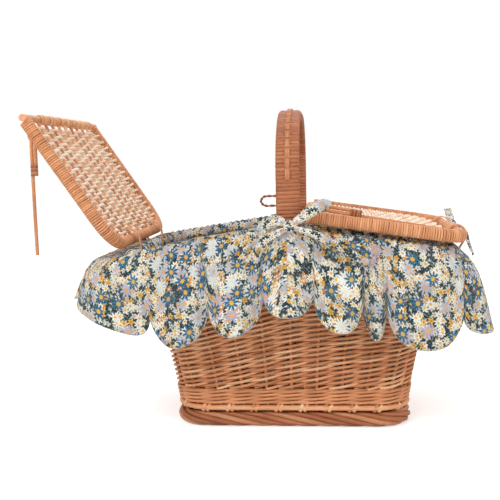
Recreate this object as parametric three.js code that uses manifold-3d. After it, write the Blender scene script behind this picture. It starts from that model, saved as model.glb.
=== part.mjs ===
// A willow sewing basket with two lids, a hoop handle and a frilled cotton liner.
// Millimetres, +Z up. The origin is the middle of the underside, +X runs along the basket towards
// the right lid's hinge, and the front of the basket faces -Y. The left lid stands open.
import * as THREE from "three";
import { mergeVertices } from "three/addons/utils/BufferGeometryUtils.js";
import Module from "manifold-3d";

const wasm = await Module();
wasm.setup();

// Driving dimensions
const GAP = 0.35; // between solids that touch
const RAD = Math.PI / 180;

const FOOT = { length: 155, width: 97, corner: 44, height: 19.5, thick: 17 };
const BAND = { bottom: 19.9, top: 31, thick: 8, inset: 1.5 };
const WALE_TOP = 50;
const WALL = { low: 25, high: 236, lowHalf: [152, 94], growth: [53, 48], bend: 0.46, corner: 42 };
const WALL_THICK = 5;
const BASE_THICK = 12;

const RIM = { half: [203, 142], corner: 42, radius: 7, height: 225.5 };
const SIDING_TOP = RIM.height - RIM.radius - GAP;
const WALL_MIDDLE = (WALE_TOP + SIDING_TOP) / 2;
const GABLE_SLOPE = 0.1504;
const GABLE_ROUND = 20;
const FABRIC = 1.4;

const HINGE_X = 210;
const HINGE_Z = 246.3;
const LID_LENGTH = 189;
const LID_HALF_WIDTH = 147;
const LID_SLOPE = 8.55 * RAD;
const LID_OPEN = 115.7 * RAD;
const RAIL = { wide: 14, tall: 21, corner: 38 };
const BAR = { radius: 4.5, half: 158 };
const PANEL_THICK = 8;
const STAKE_RADIUS = 2.3;
const LID_STAKES = 9;
const LID_STAKE_PITCH = 27;

const BODY_STAKES = 28;
const HOOP = { radius: 3.2, z: 24.5 };
const BODY_STAKE_RADIUS = 2.6;

const LEG = { x: 2, wide: 29, thick: 10.4, wall: 1.2, rods: 3, rodRadius: 3.7, rodPitch: 8.6 };
const ARCH = { half: 154.8, shoulder: 330, top: 403.8, foot: 172, footHalf: 129, bend: 245 };

const LOOP_Y = 72;
const LOOP = { wide: 8, cane: 1.8, railRadius: 12, borderRadius: 7.4 };

const PEG = { y: -117, along: 16, height: 14, length: 152, radius: 2.4, eye: 4.6, fold: 50 };

const CENTRE_BAR = { radius: 5.5, z: 255.5 };

// Finishes
const willow = { color: 0xc88054, roughness: 0.5, metalness: 0 };
const willowDark = { color: 0xb26844, roughness: 0.5, metalness: 0 };
const willowPale = { color: 0xe2b48c, roughness: 0.5, metalness: 0 };
const cotton = { color: 0x8a9494, roughness: 0.9, metalness: 0 };

// Solids from meshes, and back
function solidOf(geometry) {
  const bare = geometry.clone();
  bare.deleteAttribute("normal");
  bare.deleteAttribute("uv");
  const merged = mergeVertices(bare, 1e-4);
  return new wasm.Manifold(
    new wasm.Mesh({
      numProp: 3,
      vertProperties: new Float32Array(merged.attributes.position.array),
      triVerts: new Uint32Array(merged.index.array),
    }),
  );
}

function geometryOf(solid) {
  const mesh = solid.getMesh();
  const geometry = new THREE.BufferGeometry();
  geometry.setAttribute("position", new THREE.BufferAttribute(mesh.vertProperties, 3));
  geometry.setIndex(new THREE.BufferAttribute(mesh.triVerts, 1));
  return geometry;
}

function joined(...geometries) {
  return geometryOf(geometries.map(solidOf).reduce((all, next) => all.add(next)));
}

function cut(geometry, ...tools) {
  return geometryOf(tools.map(solidOf).reduce((left, tool) => left.subtract(tool), solidOf(geometry)));
}

function facingOut(geometry) {
  if (solidOf(geometry).volume() < 0) {
    geometry.setIndex(Array.from(geometry.index.array).reverse());
  }
  return geometry;
}

// A closed sheet or ring of even wall from a grid of outer and inner points.
// outer(i, j) and inner(i, j) give points; i goes round when closed is true.
function shell(outer, inner, ni, nj, closed) {
  const rows = closed ? ni : ni + 1;
  const position = [];
  const index = [];
  for (const side of [outer, inner]) {
    for (let i = 0; i < rows; i += 1) {
      for (let j = 0; j <= nj; j += 1) {
        position.push(...side(i, j));
      }
    }
  }
  const at = (side, i, j) => (side * rows + (i % rows)) * (nj + 1) + j;
  const quad = (a, b, c, d) => index.push(a, b, c, a, c, d);
  for (let i = 0; i < ni; i += 1) {
    for (let j = 0; j < nj; j += 1) {
      quad(at(0, i, j), at(0, i + 1, j), at(0, i + 1, j + 1), at(0, i, j + 1));
      quad(at(1, i, j), at(1, i, j + 1), at(1, i + 1, j + 1), at(1, i + 1, j));
    }
    quad(at(1, i, 0), at(1, i + 1, 0), at(0, i + 1, 0), at(0, i, 0));
    quad(at(0, i, nj), at(0, i + 1, nj), at(1, i + 1, nj), at(1, i, nj));
  }
  if (!closed) {
    for (let j = 0; j < nj; j += 1) {
      quad(at(1, 0, j), at(0, 0, j), at(0, 0, j + 1), at(1, 0, j + 1));
      quad(at(0, ni, j), at(1, ni, j), at(1, ni, j + 1), at(0, ni, j + 1));
    }
  }
  const geometry = new THREE.BufferGeometry();
  geometry.setAttribute("position", new THREE.Float32BufferAttribute(position, 3));
  geometry.setIndex(index);
  return facingOut(geometry);
}

function middleOf(position, start, sides) {
  return [0, 1, 2].map((axis) => {
    let sum = 0;
    for (let k = start; k < start + sides; k += 1) {
      sum += position[3 * k + axis];
    }
    return sum / sides;
  });
}

// A solid swept from sections: ring(i) gives the points of section i, all turning the same way.
// Its ends are fans round their middles, so that an end may rise and fall like the rim.
function loft(ring, count, sides, closed = false) {
  const position = [];
  const index = [];
  for (let i = 0; i < count; i += 1) {
    for (const point of ring(i)) {
      position.push(...point);
    }
  }
  const spans = closed ? count : count - 1;
  for (let i = 0; i < spans; i += 1) {
    const next = (i + 1) % count;
    for (let k = 0; k < sides; k += 1) {
      const l = (k + 1) % sides;
      index.push(i * sides + k, i * sides + l, next * sides + l);
      index.push(i * sides + k, next * sides + l, next * sides + k);
    }
  }
  if (!closed) {
    const first = position.length / 3;
    for (const start of [0, (count - 1) * sides]) {
      position.push(...middleOf(position, start, sides));
    }
    for (let k = 0; k < sides; k += 1) {
      const l = (k + 1) % sides;
      index.push(first, l, k);
      index.push(first + 1, (count - 1) * sides + k, (count - 1) * sides + l);
    }
  }
  const geometry = new THREE.BufferGeometry();
  geometry.setAttribute("position", new THREE.Float32BufferAttribute(position, 3));
  geometry.setIndex(index);
  return facingOut(geometry);
}

// A rod along points, of one radius or an ellipse [a, b] whose first axis keeps to the given side.
function rod(points, radius, sides = 6, side = null, closed = false) {
  const [a, b] = Array.isArray(radius) ? radius : [radius, radius];
  const path = points.map((p) => new THREE.Vector3(...p));
  const last = path.length - 1;
  const sections = path.map((p, i) => {
    const before = path[i === 0 ? (closed ? last : 0) : i - 1];
    const after = path[i === last ? (closed ? 0 : last) : i + 1];
    const along = after.clone().sub(before).normalize();
    const across = side ? new THREE.Vector3(...side) : new THREE.Vector3(0.31, 0.29, 0.9);
    across.addScaledVector(along, -across.dot(along)).normalize();
    const other = along.clone().cross(across);
    return Array.from({ length: sides }, (_, k) => {
      const turn = ((k + 0.5) * 2 * Math.PI) / sides;
      return p
        .clone()
        .addScaledVector(across, a * Math.cos(turn))
        .addScaledVector(other, b * Math.sin(turn))
        .toArray();
    });
  });
  return loft((i) => sections[i], sections.length, sides, closed);
}

function box(low, high) {
  const size = high.map((h, k) => h - low[k]);
  const geometry = new THREE.BoxGeometry(...size);
  geometry.translate(...high.map((h, k) => (h + low[k]) / 2));
  return geometry;
}

// Plan outlines: a rounded rectangle as points that start on the right end at Y = 0 and go anticlockwise.
function roundedRectangle(halfX, halfY, corner, arc = 4, straight = [6, 4]) {
  const points = [];
  const corners = [
    [halfX - corner, halfY - corner, 0],
    [corner - halfX, halfY - corner, 90],
    [corner - halfX, corner - halfY, 180],
    [halfX - corner, corner - halfY, 270],
  ];
  corners.forEach(([x, y, start], n) => {
    for (let k = 0; k <= arc; k += 1) {
      const turn = (start + (90 * k) / arc) * RAD;
      points.push([x + corner * Math.cos(turn), y + corner * Math.sin(turn)]);
    }
    const from = points[points.length - 1];
    const [nx, ny, ns] = corners[(n + 1) % 4];
    const to = [nx + corner * Math.cos(ns * RAD), ny + corner * Math.sin(ns * RAD)];
    const parts = n % 2 === 0 ? straight[0] : straight[1];
    for (let k = 1; k < parts; k += 1) {
      points.push([from[0] + ((to[0] - from[0]) * k) / parts, from[1] + ((to[1] - from[1]) * k) / parts]);
    }
  });
  return points;
}

// The wall leans out more towards the top: its half length and half width at a height.
function wallHalf(z) {
  const t = Math.max(0, (z - WALL.low) / (WALL.high - WALL.low));
  const share = (1 - WALL.bend) * t + WALL.bend * t * t;
  return WALL.lowHalf.map((half, k) => half + WALL.growth[k] * share);
}

// The rim is a shallow gable, highest over the handle.
function gable(x) {
  return GABLE_SLOPE * (HINGE_X - Math.hypot(x, GABLE_ROUND));
}

// A level of the woven wall follows the gable more and more towards the top.
function wallHeight(level, x) {
  return level + Math.max(0, (level - WALE_TOP) / (SIDING_TOP - WALE_TOP)) * gable(x);
}

function ring(outerHalf, innerHalf, corner, low, high) {
  const outer = roundedRectangle(...outerHalf, corner);
  const thick = outerHalf[0] - innerHalf[0];
  const inner = roundedRectangle(...innerHalf, corner - thick);
  const heights = [low, high];
  return shell(
    (i, j) => [...outer[i], heights[j]],
    (i, j) => [...inner[i], heights[j]],
    outer.length,
    1,
    true,
  );
}

// Base and foot
function basePanel() {
  const half = [FOOT.length, FOOT.width].map((h) => h - FOOT.thick - GAP);
  const outline = roundedRectangle(...half, FOOT.corner - FOOT.thick, 4, [1, 1]);
  return loft((i) => outline.map((p) => [...p, i * BASE_THICK]), 2, outline.length);
}

function footBorder() {
  const inner = [FOOT.length - FOOT.thick, FOOT.width - FOOT.thick];
  return ring([FOOT.length, FOOT.width], inner, FOOT.corner, 0, FOOT.height);
}

function footBand() {
  const outer = [FOOT.length - BAND.inset, FOOT.width - BAND.inset];
  const inner = outer.map((half) => half - BAND.thick);
  return ring(outer, inner, FOOT.corner, BAND.bottom, BAND.top);
}

// Woven wall: the waling band and the siding share one leaning surface, with the stakes behind it
function wallShell(low, high, rows) {
  const sections = (inset) =>
    Array.from({ length: rows + 1 }, (_, j) => {
      const level = low + ((high - low) * j) / rows;
      const half = wallHalf(level).map((h) => h - inset);
      const outline = roundedRectangle(...half, WALL.corner - inset);
      return outline.map(([x, y]) => [x, y, wallHeight(level, x)]);
    });
  const outer = sections(0);
  const inner = sections(WALL_THICK);
  return shell((i, j) => outer[j][i], (i, j) => inner[j][i], outer[0].length, rows, true);
}

function hoopHalf() {
  const inset = BAND.inset + BAND.thick + HOOP.radius + GAP;
  return [FOOT.length - inset, FOOT.width - inset];
}

function stakePath(share) {
  const behind = WALL_THICK + BODY_STAKE_RADIUS + GAP;
  const top = SIDING_TOP - 3;
  return [HOOP.z, BAND.top, WALE_TOP, WALL_MIDDLE, top].map((z, n) => {
    const half = n < 2 ? hoopHalf() : wallHalf(z).map((h) => h - behind);
    const p = alongOutline(roundedRectangle(...half, WALL.corner - behind), share);
    return [...p, wallHeight(z, p[0])];
  });
}

// The point at a share of the way round an outline.
function alongOutline(outline, share) {
  const lengths = outline.map((p, i) => {
    const q = outline[(i + 1) % outline.length];
    return Math.hypot(q[0] - p[0], q[1] - p[1]);
  });
  let left = share * lengths.reduce((a, b) => a + b);
  for (let i = 0; i < outline.length; i += 1) {
    if (left <= lengths[i]) {
      const q = outline[(i + 1) % outline.length];
      const t = left / lengths[i];
      return [outline[i][0] + t * (q[0] - outline[i][0]), outline[i][1] + t * (q[1] - outline[i][1])];
    }
    left -= lengths[i];
  }
  return outline[0];
}

// The stakes' feet are bound into one hoop inside the foot band.
function stakeCage() {
  const outline = roundedRectangle(...hoopHalf(), WALL.corner - WALL_THICK);
  const hoop = rod(outline.map((p) => [...p, HOOP.z]), HOOP.radius, 4, [0, 0, 1], true);
  const stakes = Array.from({ length: BODY_STAKES }, (_, k) =>
    rod(stakePath((k + 0.5) / BODY_STAKES), BODY_STAKE_RADIUS, 4, [1, 0, 0]),
  );
  return joined(hoop, ...stakes);
}

// Points round the rim. The skirt's panels start and end at the middles of its sides.
function rimOutline(inset = 0) {
  return roundedRectangle(...RIM.half.map((h) => h - inset), RIM.corner - inset);
}

function rimBorder() {
  const path = rimOutline().map((p) => [...p, RIM.height + gable(p[0])]);
  return rod(path, RIM.radius, 8, [0, 0, 1], true);
}

// Handle: the arch stands in the Y-Z plane and its feet lean in beside the wall
function archPath(shift = 0, inset = 0) {
  const half = ARCH.half + shift;
  const lean = (ARCH.half - ARCH.footHalf) / (ARCH.bend - ARCH.foot);
  const foot = ARCH.footHalf + shift + lean * inset;
  const leg = [ARCH.bend, 262, 296, ARCH.shoulder].map((z) => [-half, z]);
  const points = [[-foot, ARCH.foot + inset], ...leg];
  const steps = 5;
  const centre = half * 0.27;
  for (let k = 1; k <= steps; k += 1) {
    const turn = (90 * k * RAD) / steps;
    const y = -centre - (half - centre) * Math.cos(turn);
    points.push([y, ARCH.shoulder + (ARCH.top + shift - ARCH.shoulder) * Math.sin(turn)]);
  }
  points.push([0, ARCH.top + shift]);
  return [...points, ...points.slice(0, -1).reverse().map(([y, z]) => [-y, z])];
}

function bandSection(a, b, edge) {
  const corners = [[a, b - edge], [a - edge, b], [edge - a, b], [-a, b - edge]];
  return [...corners, ...corners.map(([u, v]) => [-u, -v])];
}

function archBand(section, inset = 0) {
  const path = archPath(0, inset).map(([y, z]) => new THREE.Vector3(0, y, z));
  const rings = path.map((p, i) => {
    const along = path[Math.min(i + 1, path.length - 1)].clone().sub(path[Math.max(i - 1, 0)]).normalize();
    const out = new THREE.Vector3(1, 0, 0).cross(along);
    return section.map(([u, v]) => [LEG.x + u, p.y + out.y * v, p.z + out.z * v]);
  });
  return loft((i) => rings[i], rings.length, section.length);
}

function handleRod(n) {
  const x = LEG.x + (n - (LEG.rods - 1) / 2) * LEG.rodPitch;
  const path = archPath(0, 1).map(([y, z]) => [x, y, z]);
  return rod(path, LEG.rodRadius, 4, [1, 0, 0]);
}

function handleWrapping() {
  const a = LEG.wide / 2 - LEG.wall;
  const b = LEG.thick / 2 - LEG.wall;
  const outer = archBand(bandSection(LEG.wide / 2, LEG.thick / 2, 1.6));
  return cut(outer, archBand([[a, b], [-a, b], [-a, -b], [a, -b]], -2));
}

function handleLeader() {
  const path = archPath(LEG.thick / 2 + 0.9).filter(([, z]) => z > 300);
  return rod(path.map(([y, z]) => [LEG.x, y, z]), [3.2, 0.55], 4, [1, 0, 0]);
}

function centreBar() {
  const half = RIM.half[1] - RIM.radius - GAP;
  return rod([[0, -half, CENTRE_BAR.z], [0, half, CENTRE_BAR.z]], CENTRE_BAR.radius, 8, [0, 0, 1]);
}

// A twisted cane loop round the centre bar. Its outline is drawn in the X-Z plane.
function closureLoop(y, outline) {
  return rod(outline.map(([x, z]) => [x, y, z]), 1.9, 4, [0, 1, 0], true);
}

function hingeOutline(railRadius, borderRadius, side) {
  const top = new THREE.Vector2(HINGE_X, HINGE_Z);
  const low = new THREE.Vector2(RIM.half[0], RIM.height + gable(RIM.half[0]));
  const down = low.clone().sub(top);
  const lean = Math.acos((railRadius - borderRadius) / down.length());
  const heading = Math.atan2(down.y, down.x);
  const points = [];
  const steps = 8;
  for (let k = 0; k <= steps; k += 1) {
    const turn = heading + lean + ((2 * Math.PI - 2 * lean) * k) / steps;
    points.push([top.x + railRadius * Math.cos(turn), top.y + railRadius * Math.sin(turn)]);
  }
  for (let k = 0; k <= 4; k += 1) {
    const turn = heading - lean + (2 * lean * k) / 4;
    points.push([low.x + borderRadius * Math.cos(turn), low.y + borderRadius * Math.sin(turn)]);
  }
  return points.map(([x, z]) => [side * x, z]);
}

function hingeBlock(side, y, grow, wide) {
  const outline = hingeOutline(LOOP.railRadius + grow, LOOP.borderRadius + grow, side);
  const half = wide / 2;
  return loft((i) => outline.map(([x, z]) => [x, y + (i === 0 ? -half : half), z]), 2, outline.length);
}

function hingeLoop(side, y) {
  return cut(hingeBlock(side, y, LOOP.cane, LOOP.wide), hingeBlock(side, y, 0, LOOP.wide + 4));
}

// Liner and skirt
const BAG_INSET = WALL_THICK + 2 * BODY_STAKE_RADIUS + 1.5;

function linerBag() {
  const levels = [[BASE_THICK + GAP, 12], [33, 5], [WALE_TOP, 0], [WALL_MIDDLE, 0], [SIDING_TOP - 1, 0]];
  const cup = (inset, lift) => {
    const sections = levels.map(([level, tuck], j) => {
      const half = wallHalf(level).map((h) => h - BAG_INSET - inset - tuck);
      const outline = roundedRectangle(...half, WALL.corner - inset);
      return outline.map(([x, y]) => [x, y, wallHeight(level + (j === 0 ? lift : 0), x)]);
    });
    const mouth = rimOutline(RIM.radius + GAP + inset);
    sections.push(mouth.map(([x, y]) => [x, y, RIM.height - 5 + gable(x)]));
    if (lift > 0) {
      sections.push(mouth.map(([x, y]) => [x, y, RIM.height + 40]));
    }
    return loft((j) => sections[j], sections.length, sections[0].length);
  };
  return cut(cup(0, 0), cup(FABRIC, FABRIC));
}

// One panel of the skirt runs over the rim from the inside and hangs down outside to a scalloped
// hem. It covers a quarter of the rim's outline from the point numbered first.
function skirtPanel(first) {
  const rim = rimOutline();
  const across = rim.length / 4;
  const slit = 0.8;
  const column = (i, lift) => {
    const n = (first + i) % rim.length;
    const p = rim[n];
    const before = rim[(n + rim.length - 1) % rim.length];
    const after = rim[(n + 1) % rim.length];
    const along = new THREE.Vector2(after[0] - before[0], after[1] - before[1]).normalize();
    const base = RIM.height + gable(p[0]);
    const r = RIM.radius + 2.2 * GAP + lift;
    const { near, far, drop } = skirtFall(along.y);
    const hem = drop + (i % 2 === 0 ? -9 : 9);
    const step = slit * ((i === 0) - (i === across));
    const profile = [
      [-r, -3], [-r * 0.9, r * 0.5], [-r * 0.45, r], [r * 0.5, r],
      [r + near * 0.35, -6], [r + near, -hem * 0.45], [r + far, -hem],
    ];
    return profile.map(([o, z]) => {
      const x = p[0] + along.y * o + along.x * step;
      return [x, p[1] - along.x * o + along.y * step, base + z];
    });
  };
  const sides = [FABRIC, 0].map((lift) => Array.from({ length: across + 1 }, (_, i) => column(i, lift)));
  return shell((i, j) => sides[0][i][j], (i, j) => sides[1][i][j], across, sides[0][0].length - 1, false);
}

// How far the skirt stands off the rim half way down and at its hem, and how far it hangs.
// It flares at the basket's two ends: facing is how much the rim faces along X there.
function skirtFall(facing) {
  const left = Math.max(0, -facing) ** 3;
  const right = Math.max(0, facing) ** 3;
  const drop = 112 - 46 * Math.max(0, -facing) ** 2 - 18 * right;
  return { near: 17 + 26 * left + 8 * right, far: 19 + 62 * left + 20 * right, drop };
}

function legClearance(side) {
  const grow = 0.5;
  const half = LEG.wide / 2 + grow;
  const lowest = side < 0 ? [-1, -1] : [1, 1];
  const inner = ARCH.footHalf - LEG.thick;
  const outer = ARCH.half + LEG.thick / 2 + grow;
  const ys = [inner * lowest[0], outer * lowest[1]].sort((a, b) => a - b);
  return box([LEG.x - half, ys[0], 160], [LEG.x + half, ys[1], 300]);
}

// Ties: flat fabric tapes gathered at a knot
function tape(points, wide = 7, side = [0, 0, 1]) {
  return rod(points, [wide, 1.5], 4, side);
}

function handleTie(side) {
  const y = side * 168;
  const knot = new THREE.SphereGeometry(8.5, 7, 4);
  knot.scale(1.25, 0.8, 1);
  knot.translate(4, y, 267);
  const flip = (x) => (side < 0 ? x : 8 - x);
  const at = (x, dy, z) => [flip(x), y + side * dy, z];
  return joined(
    knot,
    tape([at(4, 0, 268), at(20, 1, 278), at(38, 2, 291), at(50, 0, 292)], 6),
    tape([at(4, 0, 268), at(-14, 1, 277), at(-30, 2, 282), at(-40, 0, 278)], 6),
    tape([at(4, 0, 266), at(-22, 5, 252), at(-60, 9, 232)], 7),
    tape([at(4, 0, 266), at(40, 7, 255), at(94, 10, 226)], 7),
  );
}

function endTie(side, knotAt, tails) {
  const knot = new THREE.SphereGeometry(6.5, 7, 4);
  knot.scale(0.8, 1.2, 1);
  knot.translate(side * knotAt[0], knotAt[1], knotAt[2]);
  const paths = tails.map((tail) => [knotAt, ...tail].map(([x, y, z]) => [side * x, y, z]));
  return joined(knot, ...paths.map((path) => tape(path, 5)));
}

// Lids. Each lid is drawn closed over the right half and mirrored for the left.
function lidPoint(along, y, up) {
  const x = HINGE_X - along * Math.cos(LID_SLOPE) + up * Math.sin(LID_SLOPE);
  const z = HINGE_Z + along * Math.sin(LID_SLOPE) + up * Math.cos(LID_SLOPE);
  return [x, y, z];
}

function lidSolid(points) {
  return points.map(([along, y, up]) => lidPoint(along, y, up));
}

function lidBox(low, high) {
  const size = high.map((h, k) => h - low[k]);
  const geometry = new THREE.BoxGeometry(...size);
  geometry.translate(...high.map((h, k) => (h + low[k]) / 2));
  const matrix = new THREE.Matrix4().makeBasis(
    new THREE.Vector3(-Math.cos(LID_SLOPE), 0, Math.sin(LID_SLOPE)),
    new THREE.Vector3(0, -1, 0),
    new THREE.Vector3(Math.sin(LID_SLOPE), 0, Math.cos(LID_SLOPE)),
  );
  matrix.setPosition(HINGE_X, 0, HINGE_Z);
  geometry.applyMatrix4(matrix);
  return geometry;
}

function lidRail() {
  const end = LID_LENGTH - BAR.radius - GAP;
  const half = LID_HALF_WIDTH;
  const corner = RAIL.corner;
  const path = [[end, -half]];
  for (const side of [-1, 1]) {
    for (let k = 0; k <= 5; k += 1) {
      const turn = (side < 0 ? 18 * k : 90 - 18 * k) * RAD;
      path.push([corner - corner * Math.sin(turn), side * (half - corner + corner * Math.cos(turn))]);
    }
  }
  path.push([end, half]);
  const section = bandSection(RAIL.wide / 2, RAIL.tall / 2, 3.4);
  const rings = path.map((p, i) => {
    const q = path[Math.min(i + 1, path.length - 1)];
    const o = path[Math.max(i - 1, 0)];
    const length = Math.hypot(q[0] - o[0], q[1] - o[1]);
    const out = [(q[1] - o[1]) / length, -(q[0] - o[0]) / length];
    return lidSolid(section.map(([u, v]) => [p[0] + out[0] * u, p[1] + out[1] * u, v]));
  });
  return loft((i) => rings[i], rings.length, section.length);
}

function lidBar(radius) {
  return rod([-BAR.half, BAR.half].map((y) => lidPoint(LID_LENGTH, y, 0)), radius, 6, [0, 0, 1]);
}

function lidFrame() {
  return joined(lidBar(BAR.radius), ...lidStakes(STAKE_RADIUS));
}

function lidStakes(radius, start = RAIL.wide / 2 + GAP) {
  return Array.from({ length: LID_STAKES }, (_, k) => {
    const y = (k - (LID_STAKES - 1) / 2) * LID_STAKE_PITCH;
    return rod([lidPoint(start, y, 0), lidPoint(LID_LENGTH, y, 0)], radius, 4, [0, 1, 0]);
  });
}

function lidPanel() {
  const start = RAIL.wide / 2 + GAP;
  const half = LID_HALF_WIDTH - RAIL.wide / 2 - GAP;
  const end = LID_LENGTH - BAR.radius - 4;
  const corner = RAIL.corner - RAIL.wide / 2 - GAP;
  const outline = [[end, half]];
  for (const side of [1, -1]) {
    for (let k = 0; k <= 5; k += 1) {
      const turn = (side > 0 ? 18 * k : 90 - 18 * k) * RAD;
      const across = half - corner + corner * Math.cos(turn);
      outline.push([start + corner - corner * Math.sin(turn), side * across]);
    }
  }
  outline.push([end, -half]);
  const level = (up) => lidSolid(outline.map(([along, y]) => [along, y, up]));
  const plate = loft((i) => level((i - 0.5) * PANEL_THICK), 2, outline.length);
  const notches = [-LOOP_Y, LOOP_Y].map((y) => {
    const wide = LOOP.wide / 2 + 0.8;
    return lidBox([0, -y - wide, -9], [LOOP.railRadius + LOOP.cane + 1, -y + wide, 9]);
  });
  return cut(plate, ...lidStakes(STAKE_RADIUS + GAP, 0), ...notches);
}

// Cane coils on the free end's bar, in bundles with narrow waists between them
function lidCoils() {
  const bundles = 7;
  const from = -104;
  const to = 132;
  const pitch = (to - from) / bundles;
  const profile = [];
  for (let k = 0; k < bundles; k += 1) {
    const start = from + k * pitch;
    profile.push([5.6, start], [7.4, start + pitch / 2]);
  }
  profile.push([5.6, to]);
  const sides = 6;
  const ringAt = (r, y) =>
    Array.from({ length: sides }, (_, k) => {
      const turn = ((k + 0.5) * 2 * Math.PI) / sides;
      return lidPoint(LID_LENGTH + r * Math.cos(turn), y, r * Math.sin(turn));
    });
  const sleeve = loft((i) => ringAt(...profile[i]), profile.length, sides);
  return cut(sleeve, lidBar(BAR.radius + GAP), ...lidStakes(STAKE_RADIUS + GAP));
}

// The cane staple on the lid's top that the peg's eye hangs from
function pegStaple() {
  const along = LID_LENGTH - PEG.along;
  const height = PEG.height;
  const foot = PANEL_THICK / 2 + GAP + 1.2;
  const points = [
    [along, PEG.y - 9, foot], [along, PEG.y - 8, foot + 4], [along, PEG.y - 5, height],
    [along, PEG.y + 5, height], [along, PEG.y + 8, foot + 4], [along, PEG.y + 9, foot],
  ];
  return rod(lidSolid(points), 1.2, 6, [1, 0, 0]);
}

// A willow rod folded into an eye. u runs along the peg from the pin of the eye, v across it.
function pegRod(place) {
  const ringPoints = Array.from({ length: 12 }, (_, k) => {
    const turn = (k * 30) * RAD;
    return place(PEG.eye * Math.cos(turn), PEG.eye * Math.sin(turn));
  });
  const eye = rod(ringPoints, 1.9, 6, [0, 1, 0], true);
  const fold = rod([place(3.5, 2.7), place(PEG.fold, 2.5)], PEG.radius, 6, [0, 1, 0]);
  const run = [place(3.5, -2.4), place(PEG.fold, -2.3), place(PEG.length, -1.2)];
  const long = rod(run, PEG.radius, 6, [0, 1, 0]);
  return joined(eye, fold, long);
}

function pegBinding(place) {
  const band = (grow) => {
    const a = 4.9 + grow;
    const b = PEG.radius + 0.3 + grow;
    const section = [[a - 1.5, b], [1.5 - a, b], [-a, 0], [1.5 - a, -b], [a - 1.5, -b], [a, 0]];
    const from = 36 - (grow > 0.5 ? 0 : 2);
    const to = 49.5 + (grow > 0.5 ? 0 : 2);
    const ringAt = (u) => section.map(([v, w]) => {
      const [x, , z] = place(u, v + 0.05);
      return [x, PEG.y + w, z];
    });
    return loft((i) => ringAt(i === 0 ? from : to), 2, section.length);
  };
  return cut(band(1.5), band(0.35));
}

// Assembly
const basket = new THREE.Group();

function addPart(name, geometry, finish, parent = basket) {
  const mesh = new THREE.Mesh(geometry, new THREE.MeshStandardMaterial(finish));
  mesh.name = name;
  parent.add(mesh);
  return mesh;
}

addPart("base_panel", basePanel(), willow);
addPart("foot_border", footBorder(), willowDark);

const hingeSpaces = [-1, 1].flatMap((side) =>
  [-LOOP_Y, LOOP_Y].map((y) => hingeBlock(side, y, LOOP.cane + GAP, LOOP.wide + 2 * GAP)),
);
addPart("foot_band", footBand(), willow);
addPart("stake_cage", stakeCage(), willow);
addPart("waling_band", wallShell(BAND.top + GAP, WALE_TOP, 1), willow);
addPart("siding", cut(wallShell(WALE_TOP + GAP, SIDING_TOP, 2), ...hingeSpaces), willow);
addPart("rim_border", rimBorder(), willow);
addPart("centre_bar", centreBar(), willow);

for (let n = 0; n < LEG.rods; n += 1) {
  addPart(`handle_rod_${n + 1}`, handleRod(n), willow);
}
addPart("handle_wrapping", handleWrapping(), willowDark);
addPart("handle_leader", handleLeader(), willow);

const barLine = [-150, 150].map((y) => [0, y, CENTRE_BAR.z]);
const barSpace = rod(barLine, CENTRE_BAR.radius + GAP, 8, [0, 0, 1]);
addPart("liner_bag", cut(linerBag(), barSpace, ...hingeSpaces), cotton);

const legSpaces = [-1, 1].map(legClearance);
const panelStarts = { back_right: 34, back_left: 7, front_left: 16, front_right: 25 };
for (const [name, first] of Object.entries(panelStarts)) {
  addPart(`skirt_${name}`, cut(skirtPanel(first), barSpace, ...legSpaces, ...hingeSpaces), cotton);
}
addPart("tie_front", handleTie(-1), cotton);
addPart("tie_back", handleTie(1), cotton);
addPart("tie_left", endTie(-1, [231, 96, 232], [
  [[243, 112, 222], [254, 122, 206]],
  [[240, 70, 226], [252, 52, 210]],
]), cotton);
addPart("tie_right", endTie(1, [231, 104, 246], [
  [[228, 112, 258], [226, 120, 269]],
  [[236, 70, 243], [239, 30, 235], [243, 4, 212]],
]), cotton);

// The left loop leans over the open side; the right one stands up between the lids.
const underBar = [[-9, 255.5], [-6.4, 249.1], [0, 246.5], [6.4, 249.1], [9, 255.5]];
const leaning = [
  [6, 272], [-5, 284], [-22, 283.5], [-36, 284], [-41, 290],
  [-36, 296], [-22, 296.5], [-8, 295], [-10, 272],
];
const upright = [[6, 270], [7.5, 285], [5, 296], [0, 300], [-5, 296], [-7.5, 285], [-6, 270]];
addPart("closure_loop_left", closureLoop(-16, [...underBar, ...leaning]), willow);
addPart("closure_loop_right", closureLoop(16, [...underBar, ...upright]), willow);

for (const [word, side] of [["left", -1], ["right", 1]]) {
  addPart(`${word}_hinge_loop_front`, hingeLoop(side, -LOOP_Y), willowPale);
  addPart(`${word}_hinge_loop_back`, hingeLoop(side, LOOP_Y), willowPale);
}

// The same lid on both sides: the left one is turned open about its hinge.
function mirrorX(geometry) {
  const copy = geometry.clone();
  const place = copy.attributes.position;
  for (let k = 0; k < place.count; k += 1) {
    place.setX(k, -place.getX(k));
  }
  const order = Array.from(copy.index.array);
  for (let k = 0; k < order.length; k += 3) {
    [order[k + 1], order[k + 2]] = [order[k + 2], order[k + 1]];
  }
  copy.setIndex(order);
  return copy;
}

const lidParts = {
  lid_rail: [lidRail(), willow],
  lid_frame: [lidFrame(), willow],
  lid_panel: [lidPanel(), willowPale],
  lid_coils: [lidCoils(), willow],
  peg_staple: [pegStaple(), willow],
};

const openLid = new THREE.Group();
openLid.position.set(-HINGE_X, 0, HINGE_Z);
openLid.rotation.y = -LID_OPEN;
basket.add(openLid);
for (const [name, [geometry, finish]] of Object.entries(lidParts)) {
  addPart(`right_${name}`, geometry, finish);
  const copy = mirrorX(geometry);
  copy.translate(HINGE_X, 0, -HINGE_Z);
  addPart(`left_${name}`, copy, finish, openLid);
}

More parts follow.
